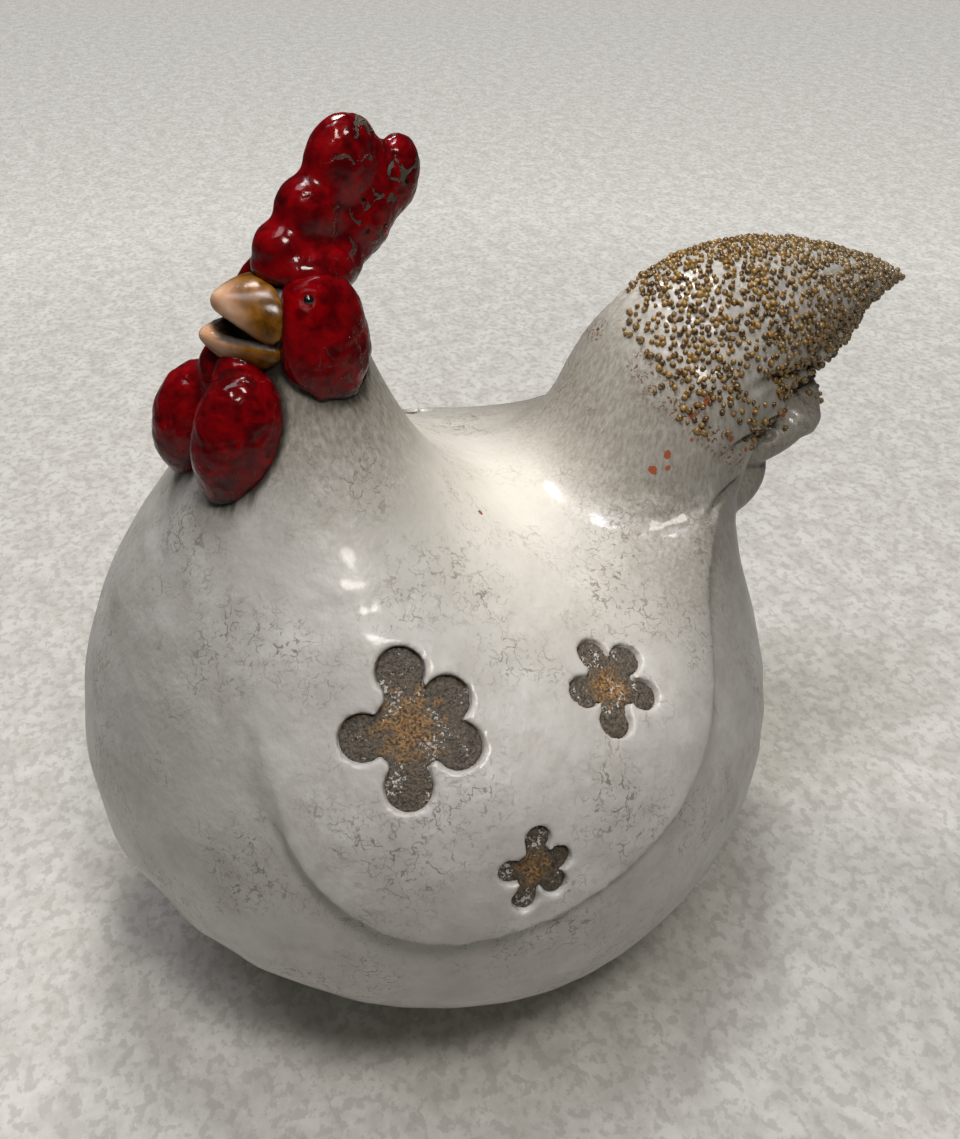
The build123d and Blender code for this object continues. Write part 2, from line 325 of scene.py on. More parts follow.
skin = {
    "voxel": 0.9,
    "softening": 18,
    "flowerHold": 0.2,          # how little the flowers' sharp rims are softened
    "flowerRim": 1.2,
    "rollHold": 0.45,
    "rollFrom": 80,
    "rollTop": 185,
    "feathering": 110,
    "featherFrom": (28, 120),   # no melting nearer the middle or lower than this
    "feather": (8, 16),         # where the feathering fades, away from the melting edge
    "rippleSize": 9.0,
    "rippleHeight": 0.9,
    "waveSize": 45.0,
    "waveHeight": 0.5,
    "footClear": (1, 12),       # the waves fade out below, where the hen stands
    "lumpSize": 4.2,
    "lumpHeight": 1.5,
    "triangles": 190000,
}

vent = {"middle": (0, 26), "reach": 7.0, "top": 8.0, "depth": 6.0}

# where each colour on the glaze starts and where it is full
# the crown's lighter cream is partly the glaze's tint and partly painted top light
crownCreamAndLight = {"middle": 15, "reach": (55, 45), "rise": (125, 155)}
# the tail part of the wash is partly a wash and partly painted shade on the tail root
washAndShade = {
    "neck": (158, 198),
    "throat": (-12, 6),
    "tail": (20, 58),
    "rump": (100, 150),
    "lean": 0.4,
    "share": 0.85,
}
grit = {"rear": (55, 70), "rise": (168, 186), "lean": 0.2}
# the darkening round stuck-on pieces is partly a dark joint and partly painted shade
jointShade = {"search": 4.0, "drop": 4, "gap": 6, "jointFade": (0.9, 2.4), "share": 0.9}

# where the glaze has flaked off to the rusty body: place and radius in millimetres
chips = [
    ((23.7, 7.8, 159.9), 0.9),
    ((29.7, 60.3, 167.7), 1.3),
    ((31.2, 60.1, 164.5), 0.9),
    ((29.0, 56.9, 163.3), 1.5),
    ((25.9, 67.8, 183.6), 0.7),
    ((28.5, 72.2, 183.5), 0.7),
    ((29.4, 71.2, 181.3), 1.2),
    ((28.8, 68.3, 179.8), 0.9),
    ((29.1, 67.1, 178.1), 1.0),
    ((31.8, 66.3, 172.1), 0.7),
    ((36.2, 68.7, 162.5), 0.6),
    ((27.0, 86.1, 191.2), 1.0),
    ((34.4, 77.6, 171.1), 1.1),
    ((35.5, 76.7, 166.5), 0.9),
    ((33.5, 84.2, 165.8), 1.1),
    ((18.4, 108.5, 163.3), 1.0),
]

# the folds of the tail's side, from its rear edge forward: places in millimetres, on the left side
folds = {
    "upper": [(18.3, 117.9, 176.0), (25.9, 102.9, 181.0), (29.4, 91.9, 183.4), (31.3, 79.5, 181.0)],
    "lower": [(22.0, 101.8, 160.5), (32.0, 87.5, 168.0), (34.5, 80.7, 167.8), (35.8, 71.0, 165.0)],
    "root": [(33.0, 83.0, 155.5), (37.0, 78.0, 155.0), (41.0, 71.5, 154.5), (43.5, 64.5, 151.0)],
}

fold = {
    "from": (8, 50, 135),       # no fold nearer the middle, further forward or lower than this
    "halfWidth": 2.5,
    "depth": 2.3,
    "fade": (0.55, 1.0),
    "swell": 1.7,
    "swellReach": (2.0, 9.0),
    "swellFade": (0.4, 0.95),
}

# the near edge of the grit, where specks of its glaze stray: places in millimetres, on the left side
trail = {"path": [(9, 60, 187), (23.7, 62.7, 180.6), (34, 72.5, 171.8), (35, 84, 161)], "fade": (1.5, 5.5)}

# where the wing's front and upper edges melt into the shoulder: places in millimetres, on the left side
meltingEdge = [
    (66.0, -64.5, 132.0),
    (51.9, -63.2, 145.4),
    (45.2, -57.2, 155.1),
    (50.6, -43.5, 158.6),
    (58.4, -20.6, 155.0),
    (61.3, -2.8, 149.8),
    (58.6, 10.3, 147.2),
    (51.1, 21.4, 146.2),
    (40.0, 35.0, 146.3),
    (42.6, 46.0, 147.5),
    (41.0, 58.0, 149.8),
    (41.0, 74.0, 155.5),
]

flowerNames = sorted(name for name in nodes if name.startswith("flower"))
wingNames = sorted(name for name in nodes if name.startswith("wing"))
rollNames = sorted(name for name in nodes if name.startswith("tail_roll"))


def middleOf(name):
    # the middle of a node's box and how far its corners lie from there, in millimetres
    low, high = (Vector(corner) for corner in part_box(name))
    return (low + high) / 2 / mm, (high - low).length / 2 / mm


flowers = [middleOf(name) for name in flowerNames]


def crackle(tree, place, cellSize, width, breakSize):
    # crooked strands: the edges of warped cells, broken into short lengths
    cellScale = 1 / (cellSize * mm)
    bend = addNode(tree, "TexNoise", {"Vector": place, "Scale": 1.1 * cellScale, "Detail": 3}, out="Color")
    bend = addNode(tree, "VectorMath", {0: bend, 1: (0.5, 0.5, 0.5)}, operation="SUBTRACT")
    reach = [1.7 * cellSize * mm] * 3
    bent = addNode(tree, "VectorMath", {0: bend, 1: reach, 2: place}, operation="MULTIPLY_ADD")
    cells = addNode(tree, "TexVoronoi", {"Vector": bent, "Scale": cellScale}, feature="DISTANCE_TO_EDGE")
    near = width / cellSize
    thinning = {"From Min": 0.4 * near, "From Max": near, "To Min": 1.0, "To Max": 0.0}
    line = addNode(tree, "MapRange", {"Value": cells, **thinning})
    breaks = addNode(tree, "TexNoise", {"Vector": bent, "Scale": 1 / (breakSize * mm), "Detail": 1.5})
    kept = addNode(tree, "MapRange", {"Value": breaks, "From Min": 0.48, "From Max": 0.55})
    return addNode(tree, "Math", {0: line, 1: kept}, operation="MULTIPLY")


def paleGlaze():
    # stoneware under a thick satin glaze: soft wide highlights, grey-brown crackle worked into it
    material, tree, surface = newMaterial("stoneware_poured_crackle_glaze")
    place = addNode(tree, "TexCoord", out="Object")
    broad = addNode(tree, "TexNoise", {"Vector": place, "Scale": perMetre(38), "Detail": 4, "Roughness": 0.6})
    mottle = addNode(tree, "TexNoise", {
        "Vector": place, "Scale": perMetre(10.5), "Detail": 5, "Roughness": 0.65,
    })
    broadShare = addNode(tree, "MapRange", {"Value": broad, "From Min": 0.38, "From Max": 0.62})
    tone = addNode(tree, "Mix", {
        "Factor": broadShare, under: hexColour("#BEBBB4"), over: hexColour("#D0CDC7"),
    }, **blend)
    mottleShare = addNode(tree, "MapRange", {
        "Value": mottle, "From Min": 0.46, "From Max": 0.70, "To Max": 0.55,
    })
    tone = addNode(tree, "Mix", {"Factor": mottleShare, under: tone, over: hexColour("#AAA49A")}, **blend)
    # the crown is a lighter cream: partly the glaze's own tint, partly painted light where the top light
    # falls; it is greyer down the sides
    creamAndTopLight = addNode(tree, "Attribute", out="Fac", attribute_name="crownCreamAndLight")
    tone = addNode(tree, "Mix", {"Factor": creamAndTopLight, under: tone, over: hexColour("#F2EDE0")}, **blend)
    # a grey-brown wash brushed up the neck; over the tail root the same darker grey is partly a rubbed wash
    # and partly painted shade
    washedAndShaded = addNode(tree, "Attribute", out="Fac", attribute_name="washAndShade")
    brushed = addNode(tree, "Mapping", {
        "Vector": place, "Scale": (perMetre(1.11), perMetre(1.11), perMetre(7.7)),
    })
    strokes = addNode(tree, "TexNoise", {"Vector": brushed, "Scale": 1.0, "Detail": 4, "Roughness": 0.6})
    strokeShare = addNode(tree, "MapRange", {
        "Value": strokes, "From Min": 0.30, "From Max": 0.66, "To Min": 0.6,
    })
    washAndShadeShare = addNode(tree, "Math", {0: washedAndShaded, 1: strokeShare}, operation="MULTIPLY")
    tone = addNode(tree, "Mix", {"Factor": washAndShadeShare, under: tone, over: hexColour("#7C766A")}, **blend)
    # crackle: fine crooked strands, thick in some fields and thin in others
    large = crackle(tree, place, cellSize=4.6, width=0.26, breakSize=2.6)
    small = crackle(tree, place, cellSize=2.6, width=0.17, breakSize=2.2)
    small = addNode(tree, "Math", {0: small, 1: 0.6}, operation="MULTIPLY")
    strands = addNode(tree, "Math", {0: large, 1: small}, operation="MAXIMUM")
    fields = addNode(tree, "TexNoise", {"Vector": place, "Scale": perMetre(24), "Detail": 3.0})
    thickness = {"From Min": 0.44, "From Max": 0.64, "To Min": 0.05, "To Max": 0.72}
    fieldShare = addNode(tree, "MapRange", {"Value": fields, **thickness})
    strandShare = addNode(tree, "Math", {0: strands, 1: fieldShare}, operation="MULTIPLY")
    tone = addNode(tree, "Mix", {"Factor": strandShare, under: tone, over: hexColour("#70654F")}, **blend)
    # a dark joint where the beak and the red pieces were stuck on, partly painted shade where they meet the
    # body
    jointShaded = addNode(tree, "Attribute", out="Fac", attribute_name="jointShade")
    tone = addNode(tree, "Mix", {"Factor": jointShaded, under: tone, over: hexColour("#2B2721")}, **blend)
    # brown specks of stray grit glaze
    strayed = addNode(tree, "Attribute", out="Fac", attribute_name="trail")
    specks = addNode(tree, "TexNoise", {
        "Vector": place, "Scale": perMetre(1.11), "Detail": 2, "Distortion": 0.6,
    })
    speckShare = addNode(tree, "MapRange", {"Value": specks, "From Min": 0.56, "From Max": 0.62})
    speckShare = addNode(tree, "Math", {0: speckShare, 1: strayed}, operation="MULTIPLY")
    tone = addNode(tree, "Mix", {"Factor": speckShare, under: tone, over: hexColour("#6B4816")}, **blend)
    # chips: ragged dots of the bare body
    ragged = addNode(tree, "TexNoise", {"Vector": place, "Scale": perMetre(1.43), "Detail": 2})
    nearest = 9.0
    for spot, radius in chips:
        away = addNode(tree, "VectorMath", {
            0: place, 1: Vector(spot) * mm,
        }, out="Value", operation="DISTANCE")
        share = addNode(tree, "Math", {0: away, 1: radius * mm}, operation="DIVIDE")
        nearest = addNode(tree, "Math", {0: share, 1: nearest}, operation="MINIMUM")
    worn = addNode(tree, "Math", {0: ragged, 1: nearest}, operation="ADD")
    flaking = {"From Min": 1.30, "From Max": 1.45, "To Min": 1.0, "To Max": 0.0}
    chip = addNode(tree, "MapRange", {"Value": worn, **flaking})
    tone = addNode(tree, "Mix", {"Factor": chip, under: tone, over: hexColour("#9C5234")}, **blend)
    tree.links.new(tone, surface["Base Color"])
    glossing = {"From Min": 0.3, "From Max": 0.7, "To Min": 0.36, "To Max": 0.50}
    gloss = addNode(tree, "MapRange", {"Value": mottle, **glossing})
    tree.links.new(addNode(tree, "Math", {0: gloss, 1: chip}, operation="MAXIMUM"), surface["Roughness"])
    surface["IOR"].default_value = 1.48
    surface["Coat Weight"].default_value = 0.28
    surface["Coat Roughness"].default_value = 0.09
    soft = addNode(tree, "TexNoise", {
        "Vector": place, "Scale": perMetre(13.3), "Detail": 4, "Roughness": 0.55,
    })
    softBump = addNode(tree, "Bump", {"Height": soft, "Distance": 1.2 * mm})
    fine = addNode(tree, "TexNoise", {"Vector": place, "Scale": perMetre(1.25), "Detail": 2})
    pinholes = {"Height": fine, "Distance": 0.04 * mm, "Strength": 0.7}
    fineBump = addNode(tree, "Bump", {"Normal": softBump, **pinholes})
    tree.links.new(fineBump, surface["Normal"])
    return material


def closeVent(piece):
    # the vent keeps its bore; the cavity that nothing shows is left out of the skin
    def awayFromVent(polygon):
        x, y, z = polygon.center / mm
        return math.hypot(x - vent["middle"][0], y - vent["middle"][1])

    def inBore(polygon):
        upright = abs(polygon.normal.z) < 0.1
        return upright and polygon.center.z / mm < vent["top"] and awayFromVent(polygon) < vent["reach"]

    def isLid(polygon):
        return polygon.center.z / mm < 0.5 and awayFromVent(polygon) < 1.0 and len(polygon.vertices) > 8

    pick(piece)
    selectFaces(piece, inBore)
    bpy.ops.mesh.delete(type="FACE")
    bpy.ops.mesh.select_mode(type="VERT")
    bpy.ops.mesh.select_all(action="DESELECT")
    bpy.ops.object.mode_set(mode="OBJECT")
    max(piece.data.vertices, key=lambda vertex: vertex.co.y).select = True
    bpy.ops.object.mode_set(mode="EDIT")
    bpy.ops.mesh.select_linked()
    bpy.ops.mesh.select_all(action="INVERT")
    bpy.ops.mesh.delete(type="VERT")
    bpy.ops.mesh.select_all(action="SELECT")
    bpy.ops.mesh.fill_holes(sides=0)
    selectFaces(piece, isLid)
    bpy.ops.mesh.extrude_region_move(TRANSFORM_OT_translate={"value": (0, 0, vent["depth"] * mm)})
    bpy.ops.object.mode_set(mode="OBJECT")


# painted light: the top of the back is painted lighter, with the glaze's cream tint
def crownCreamAndLightAt(point, normal):
    x, y, z = point
    across, along = crownCreamAndLight["reach"]
    return math.exp(-(x / across) ** 2 - ((y - crownCreamAndLight["middle"]) / along) ** 2) * ease(z, *crownCreamAndLight["rise"])


def washAndShadeAt(point, normal):
    x, y, z = point
    neck = ease(z, *washAndShade["neck"]) * ease(-y, *washAndShade["throat"])
    # over the tail root the darker grey is partly a wash and partly painted shade
    tail = ease(y + washAndShade["lean"] * (z - washAndShade["rump"][1]), *washAndShade["tail"]) * ease(z, *washAndShade["rump"])
    return min(neck + washAndShade["share"] * tail * (1 - 0.5 * gritAt(point)), 1.0)


def awayFromPath(point, path):
    # the distance to a run of straight lines, and how far along the run its nearest place is
    best = (99.0, 0.0)
    for step in range(len(path) - 1):
        start, end = Vector(path[step]), Vector(path[step + 1])
        spot, share = geometry.intersect_point_line(point, start, end)
        share = min(max(share, 0.0), 1.0)
        away = (point - start.lerp(end, share)).length
        best = min(best, (away, (step + share) / (len(path) - 1)))
    return best


def mirrored(point):
    return Vector((abs(point.x), point.y, point.z))


def inFolds(point):
    across, along, up = fold["from"]
    return point.y > along and point.z > up and abs(point.x) > across


def grooveAt(point):
    if not inFolds(point):
        return 0.0
    depth = 0.0
    for path in folds.values():
        away, along = awayFromPath(mirrored(point), path)
        depth = max(depth, (1 - ease(away, 0, fold["halfWidth"])) * (1 - ease(along, *fold["fade"])))
    return depth


def swellAt(point):
    # the soft roll between the two upper folds
    if not inFolds(point):
        return 0.0
    upper, alongUpper = awayFromPath(mirrored(point), folds["upper"])
    lower, alongLower = awayFromPath(mirrored(point), folds["lower"])
    between = 1 - ease(abs(upper - lower), *fold["swellReach"])
    return between * (1 - ease(max(alongUpper, alongLower), *fold["swellFade"]))


def featherAt(point):
    # how much the skin melts here: not low down, not near the middle and not on the flowers
    across, up = skin["featherFrom"]
    if point.z < up or abs(point.x) < across:
        return 0.0
    away = awayFromPath(mirrored(point), meltingEdge)[0]
    clear = min(1.0, *[ease((point - middle).length, reach * 0.8, reach * 1.0) for middle, reach in flowers])
    return clear * (1 - ease(away, *skin["feather"]))


def gritAt(point):
    # where the glaze lies thick and lumpy under the grit
    return ease(point.y, *grit["rear"]) * ease(point.z - grit["lean"] * (120 - point.y), *grit["rise"])


def trailAt(point, normal):
    # stray specks down the near edge of the grit, on both sides of the tail
    if not inFolds(point):
        return 0.0
    away = awayFromPath(mirrored(point), trail["path"])[0]
    return 1 - ease(away, *trail["fade"])


def surfaceOf(name):
    mesh = nodes[name].data
    corners = [vertex.co / mm for vertex in mesh.vertices]
    return BVHTree.FromPolygons(corners, [tuple(polygon.vertices) for polygon in mesh.polygons])


stuckNames = [name for name in sorted(nodes) if name.startswith(("beak", "comb", "face", "wattle"))]
stuckOn = [surfaceOf(name) for name in stuckNames]
headLow = min(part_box(name)[0][2] for name in nodes if name.startswith("wattle")) / mm
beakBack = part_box("beak_upper")[1][1] / mm
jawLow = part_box("beak_lower")[0][2] / mm


def jointShadeAt(point, normal):
    # darker round the pieces that were stuck on, partly a dark joint and partly painted shade where they meet
    # the body, and in the strip between the beak and the face pads
    drop = jointShade["drop"]
    if point.z < headLow - drop:
        return 0.0
    strip = ease(beakBack + jointShade["gap"] - point.y, 0, 3) * ease(point.z, jawLow - drop, jawLow)
    nearest = [surface.find_nearest(point, jointShade["search"]) for surface in stuckOn]
    away = min([found[3] for found in nearest if found[0]], default=jointShade["search"])
    return max(strip, jointShade["share"] * (1 - ease(away, *jointShade["jointFade"])))


def makeSkin():
    shell = copyNodes("hen_skin", ["body_shell"])
    closeVent(shell)
    trim = copyNodes("trim", wingNames + rollNames)
    pick(shell, trim)
    bpy.ops.object.join()
    remesh(shell, skin["voxel"])

    def softeningAt(point):
        if any((point - middle).length < reach * skin["flowerRim"] for middle, reach in flowers):
            return skin["flowerHold"]
        return skin["rollHold"] if point.y > skin["rollFrom"] and point.z < skin["rollTop"] else 1.0

    weigh(shell, "softening", softeningAt)
    soften(shell, skin["softening"], vertex_group="softening")
    weigh(shell, "feather", featherAt)
    soften(shell, skin["feathering"], vertex_group="feather")
    roughen(shell, "ripples", skin["rippleSize"], skin["rippleHeight"], 0.6, vertex_group="feather")
    weigh(shell, "swell", swellAt)
    swell(shell, fold["swell"], vertex_group="swell")
    weigh(shell, "groove", grooveAt)
    swell(shell, -fold["depth"], vertex_group="groove")
    weigh(shell, "above", lambda point: ease(point.z, *skin["footClear"]))
    roughen(shell, "waves", skin["waveSize"], skin["waveHeight"], 1.0, vertex_group="above")
    weigh(shell, "grit", gritAt)
    roughen(shell, "tail_lumps", skin["lumpSize"], skin["lumpHeight"], 1.0, vertex_group="grit")
    ratio = skin["triangles"] / (2 * len(shell.data.polygons))
    if ratio < 1:
        applyModifier(shell, "DECIMATE", ratio=ratio)
    paint(shell, "crownCreamAndLight", crownCreamAndLightAt)
    paint(shell, "washAndShade", washAndShadeAt)
    paint(shell, "trail", trailAt)
    paint(shell, "jointShade", jointShadeAt)
    finishPiece(shell, paleGlaze(), "pale_glaze", "body_shell", *wingNames, *rollNames)
    return shell


henSkin = makeSkin()


# Comb, face pads and wattles.

red = {
    "voxel": 0.5,
    "softening": 5,
    "padReach": 1.6,
    "cornerDraw": 2.2,
    "eyeBedding": 25,
    "pad": (0.05, 0.45),        # where the reach forward fades, a share of the pad's length
    "cornerRise": (0, 7),
    "cornerSpan": (4.5, 9),
    "eyeBed": (3.5, 6.5),
    "eyeRing": (4.0, 7.5),      # the glaze round the eye is duller out to here
    "hollowSize": 3.4,
    "hollow": (0.25, 0.6),
    "hollowShare": 0.55,
    "rim": (0.8, 3.6),          # darker lower edges: partly the glaze running thin, partly painted shade where they turn under
    "rimShare": 0.95,
    "lumpSize": 4.8,
    "lumpHeight": 1.0,
    "leastLumpy": 0.3,
    "closing": {"comb": 2.4, "face": 1.6, "wattle": 1.6},
    "swelling": {"comb": 0.35, "face": 0.8, "wattle": 1.1},
    "names": sorted(name for name in nodes if name.startswith(("comb", "face", "wattle"))),
}

# how rough each piece's glaze came out, and where: a share over its length from front to back
roughFrom = {"comb": (0.30, 0.65), "face": (-0.2, 0.9), "wattle": (-0.8, 0.5)}


def redGlaze():
    # thick glossy glaze over a dark body: deep red where it pools, grey-olive where it breaks
    material, tree, surface = newMaterial("thick_poured_red_glaze")
    place = addNode(tree, "TexCoord", out="Object")
    pooling = {"Scale": perMetre(5.3), "Detail": 3, "Roughness": 0.6, "Distortion": 0.4}
    pool = addNode(tree, "TexNoise", {"Vector": place, **pooling})
    poolShare = addNode(tree, "MapRange", {"Value": pool, "From Min": 0.38, "From Max": 0.64})
    tone = addNode(tree, "Mix", {
        "Factor": poolShare, under: hexColour("#4C0105"), over: hexColour("#7E0208"),
    }, **blend)
    hollow = addNode(tree, "Attribute", out="Fac", attribute_name="hollow")
    tone = addNode(tree, "Mix", {"Factor": hollow, under: tone, over: hexColour("#1E0203")}, **blend)
    rough = addNode(tree, "Attribute", out="Fac", attribute_name="rough")
    cracking = {"Scale": perMetre(4.8), "Detail": 3.0, "Roughness": 0.55, "Distortion": 1.6}
    cracks = addNode(tree, "TexNoise", {"Vector": place, **cracking})
    crackShare = addNode(tree, "MapRange", {"Value": cracks, "From Min": 0.585, "From Max": 0.615})
    bareShare = addNode(tree, "Math", {0: rough, 1: crackShare}, operation="MULTIPLY")
    tone = addNode(tree, "Mix", {"Factor": bareShare, under: tone, over: hexColour("#47433A")}, **blend)
    pits = addNode(tree, "TexVoronoi", {"Vector": place, "Scale": perMetre(4.3)})
    pitting = {"From Min": 0.10, "From Max": 0.16, "To Min": 1.0, "To Max": 0.0}
    pitShare = addNode(tree, "MapRange", {"Value": pits, **pitting})
    pitShare = addNode(tree, "Math", {0: rough, 1: pitShare}, operation="MULTIPLY")
    tone = addNode(tree, "Mix", {"Factor": pitShare, under: tone, over: hexColour("#160304")}, **blend)
    # painted shade: the lower edges of the face pads and wattles turn near-black, partly where the glaze ran
    # thin
    rim = addNode(tree, "Attribute", out="Fac", attribute_name="rim")
    tone = addNode(tree, "Mix", {"Factor": rim, under: tone, over: hexColour("#23211F")}, **blend)
    tree.links.new(tone, surface["Base Color"])
    glossing = {"From Min": 0.3, "From Max": 0.7, "To Min": 0.10, "To Max": 0.20}
    gloss = addNode(tree, "MapRange", {"Value": pool, **glossing})
    dull = addNode(tree, "Math", {0: bareShare, 1: 0.45}, operation="MULTIPLY")
    tree.links.new(addNode(tree, "Math", {0: gloss, 1: dull}, operation="MAXIMUM"), surface["Roughness"])
    # the glaze is thin in the bed of the eye and hardly shines there
    bed = addNode(tree, "Attribute", out="Fac", attribute_name="bed")
    shine = addNode(tree, "MapRange", {"Value": bed, "To Min": 0.35, "To Max": 0.02})
    coat = addNode(tree, "MapRange", {"Value": bed, "To Min": 0.1, "To Max": 0.0})
    tree.links.new(shine, surface["Specular IOR Level"])
    tree.links.new(coat, surface["Coat Weight"])
    surface["IOR"].default_value = 1.4
    surface["Coat Roughness"].default_value = 0.04
    lumps = addNode(tree, "TexNoise", {
        "Vector": place, "Scale": perMetre(3.8), "Detail": 2.0, "Distortion": 0.5,
    })
    lumpBump = addNode(tree, "Bump", {"Height": lumps, "Distance": 0.3 * mm})
    broken = addNode(tree, "Math", {0: bareShare, 1: pitShare}, operation="MAXIMUM")
    brokenBump = addNode(tree, "Bump", {"Height": broken, "Distance": -0.35 * mm, "Normal": lumpBump})
    tree.links.new(brokenBump, surface["Normal"])
    return material


def makeRed(name, material):
    # the poured glaze fills the valleys between the lobes: swollen, skinned again and drawn back
    piece = copyNodes(name + "_glazed", [name])
    kind = name.split("_")[0]
    closing = red["closing"][kind]
    remesh(piece, red["voxel"])
    swell(piece, closing)
    remesh(piece, red["voxel"])
    soften(piece, red["softening"])
    swell(piece, red["swelling"][kind] - closing)
    remesh(piece, red["voxel"])
    soften(piece, red["softening"])
    low, high = (Vector(corner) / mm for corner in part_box(name))
    middle = (low.y + high.y) / 2

    def alongAt(point):
        return (point.y - low.y) / (high.y - low.y)

    def cornerAt(point):
        downward = 1 - ease(point.z - low.z, *red["cornerRise"])
        return downward * ease(abs(point.y - middle), *red["cornerSpan"])

    if kind == "face":
        # the pad reaches forward to the beak, its lower corners are rounded and the eye gets a smooth bed
        weigh(piece, "ahead", lambda point: 1 - ease(alongAt(point), *red["pad"]))
        swell(piece, red["padReach"], vertex_group="ahead")
        weigh(piece, "corners", cornerAt)
        swell(piece, -red["cornerDraw"], vertex_group="corners")
        soften(piece, red["softening"])
        eye = middleOf(name.replace("face", "eye"))[0]
        weigh(piece, "eyeBed", lambda point: 1 - ease((point - eye).length, *red["eyeBed"]))
        soften(piece, red["eyeBedding"], vertex_group="eyeBed")
    start, full = roughFrom[kind]
    least = red["leastLumpy"]

    def roughShare(point):
        return least + (1 - least) * ease(alongAt(point), start, full)

    weigh(piece, "lumpy", roughShare)
    roughen(piece, name + "_lumps", red["lumpSize"], red["lumpHeight"], 0.8, vertex_group="lumpy")

    def roughAt(point, normal):
        share = (roughShare(point) - least) / (1 - least)
        return share if name == "comb" else 0.6 * share * (1 - ease(point.z, low.z + 8, low.z + 20))

    def hollowAt(point, normal):
        return red["hollowShare"] * ease(-noise.noise(point / red["hollowSize"]), *red["hollow"])

    # painted shade along the lower edges where they turn under, partly the glaze running thin
    def rimAt(point, normal):
        return 0.0 if name == "comb" else red["rimShare"] * (1 - ease(point.z - low.z, *red["rim"]))

    paint(piece, "hollow", hollowAt)
    paint(piece, "rough", roughAt)
    paint(piece, "rim", rimAt)
    if kind == "face":
        paint(piece, "bed", lambda point, normal: 1 - ease((point - eye).length, *red["eyeRing"]))
    finishPiece(piece, material, "red_glaze", name)


redMaterial = redGlaze()
for redName in red["names"]:
    makeRed(redName, redMaterial)


# Beak.

beak = {
    "voxel": 0.42,
    "softening": 6,
    "swelling": {"beak_upper": 0.5, "beak_lower": 1.3},
    "worn": (0.45, 0.9),        # where the tips are worn pale, a share of the beak's length
    "mouthEnd": (0.75, 0.95),
}


def ochreGlaze():
    # thin brushed glaze: ochre at the root, worn to the pale body at the tips, with painted shade inside the
    # mouth
    material, tree, surface = newMaterial("stoneware_brushed_ochre_glaze")
    place = addNode(tree, "TexCoord", out="Object")
    streaking = {"Scale": perMetre(5.9), "Detail": 4, "Roughness": 0.6, "Distortion": 0.2}
    streak = addNode(tree, "TexNoise", {"Vector": place, **streaking})
    share = addNode(tree, "MapRange", {"Value": streak, "From Min": 0.35, "From Max": 0.65})
    ochre = addNode(tree, "Mix", {
        "Factor": share, under: hexColour("#4C2E05"), over: hexColour("#8E5C18"),
    }, **blend)
    pink = addNode(tree, "Mix", {
        "Factor": share, under: hexColour("#BE8E6C"), over: hexColour("#D6B194"),
    }, **blend)
    tip = addNode(tree, "Attribute", out="Fac", attribute_name="tip")
    tone = addNode(tree, "Mix", {"Factor": tip, under: ochre, over: pink}, **blend)
    # painted shade: near-black inside the mouth
    mouthShade = addNode(tree, "Attribute", out="Fac", attribute_name="mouthShade")
    tone = addNode(tree, "Mix", {"Factor": mouthShade, under: tone, over: hexColour("#140A04")}, **blend)
    tree.links.new(tone, surface["Base Color"])
    glossing = {"From Min": 0.3, "From Max": 0.7, "To Min": 0.20, "To Max": 0.28}
    gloss = addNode(tree, "MapRange", {"Value": streak, **glossing})
    dry = addNode(tree, "Math", {0: mouthShade, 1: 0.6}, operation="MULTIPLY")
    tree.links.new(addNode(tree, "Math", {0: gloss, 1: dry}, operation="MAXIMUM"), surface["Roughness"])
    surface["IOR"].default_value = 1.4
    bump = addNode(tree, "Bump", {"Height": streak, "Distance": 0.12 * mm})
    tree.links.new(bump, surface["Normal"])
    return material


def makeBeak(name, material):
    piece = copyNodes(name + "_glazed", [name])
    remesh(piece, beak["voxel"])
    soften(piece, beak["softening"])
    swell(piece, beak["swelling"][name])
    remesh(piece, beak["voxel"])
    soften(piece, beak["softening"])
    low, high = (Vector(corner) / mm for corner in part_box(name))

    def forwardAt(point):
        return (high.y - point.y) / (high.y - low.y)

    def tipAt(point, normal):
        return ease(forwardAt(point), *beak["worn"])

    # painted shade on the faces inside the mouth
    def mouthShadeAt(point, normal):
        facing = normal.z if name == "beak_lower" else -normal.z
        inward = 1 - ease(forwardAt(point), *beak["mouthEnd"])
        return 0.97 * ease(facing, 0.35, 0.8) * inward

    paint(piece, "tip", tipAt)
    paint(piece, "mouthShade", mouthShadeAt)
    finishPiece(piece, material, "ochre_glaze", name)


ochreMaterial = ochreGlaze()
for beakName in ("beak_upper", "beak_lower"):
    makeBeak(beakName, ochreMaterial)


# Flowers of fused grit in the wings.

flower = {
    "voxel": 0.45,
    "softening": 3,
    "grainSize": 0.9,
    "grainHeight": 0.5,
    "heart": (0.1, 0.42),       # where the rusty heart fades, a share of the flower's reach
    "heartShare": 0.85,
}


